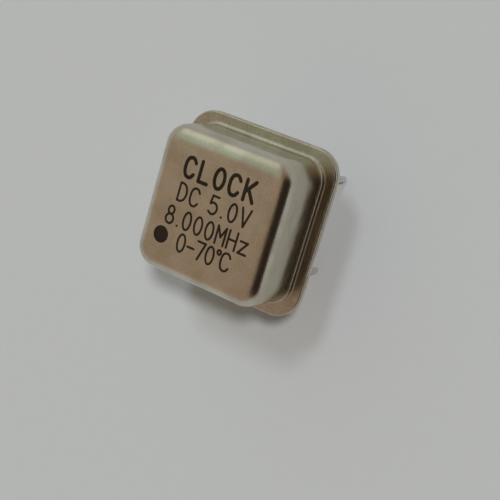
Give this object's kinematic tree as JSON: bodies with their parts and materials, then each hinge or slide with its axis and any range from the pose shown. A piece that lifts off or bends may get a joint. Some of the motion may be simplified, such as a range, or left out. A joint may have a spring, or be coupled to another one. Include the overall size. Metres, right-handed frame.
{
  "type": "crystal oscillator",
  "caption": "Square welded metal can with a rounded top and a flange, on round wire leads in a square grid; a clock oscillator with its quartz disc and circuit sealed inside.",
  "frame": {"origin": "centre of the seating plane, which is the flat underside of the base", "axes": "+X along the marking's reading direction, +Y up the marking, +Z out of the marked top; the leads run along -Z"},
  "size_m": [0.013, 0.013, 0.0123],
  "materials": {
    "can": "dull nickel plate on drawn steel",
    "base_metal": "dull nickel plate on pressed steel",
    "lead_wire": "hot-tinned wire",
    "seal_glass": "fused dark glass, nearly opaque",
    "braze": "silver braze as it set",
    "epoxy": "cured epoxy",
    "alumina": "white fired alumina",
    "film": "fired silver film",
    "solder": "reflowed solder",
    "silver_adhesive": "silver-filled adhesive",
    "silicon": "polished silicon under glassy film",
    "gold": "drawn gold wire",
    "capacitor_ceramic": "fired tan ceramic",
    "capacitor_metal": "tinned terminal",
    "spring_metal": "bright spring alloy",
    "quartz": "lapped quartz",
    "electrode_silver": "evaporated silver",
    "print_ink": "black marking ink"
  },
  "bodies": {
    "root": {"cover": "can", "base": "base_metal", "lead_1": "lead_wire", "lead_4": "lead_wire", "lead_5": "lead_wire", "lead_8": "lead_wire", "glass_seal_1": "seal_glass", "glass_seal_5": "seal_glass", "glass_seal_8": "seal_glass", "earth_braze": "braze", "substrate_adhesive": "epoxy", "substrate": "alumina", "printed_film": "film", "post_solder_1": "solder", "post_solder_4": "solder", "post_solder_5": "solder", "post_solder_8": "solder", "chip_adhesive": "silver_adhesive", "adhesive_dab_left": "silver_adhesive", "adhesive_dab_right": "silver_adhesive", "oscillator_chip": "silicon", "bond_wires": "gold", "capacitor_body": "capacitor_ceramic", "capacitor_terminal_supply": "capacitor_metal", "capacitor_terminal_earth": "capacitor_metal", "clip_left": "spring_metal", "clip_right": "spring_metal", "crystal_blank": "quartz", "upper_electrode": "electrode_silver", "lower_electrode": "electrode_silver"}
  },
  "joints": []
}
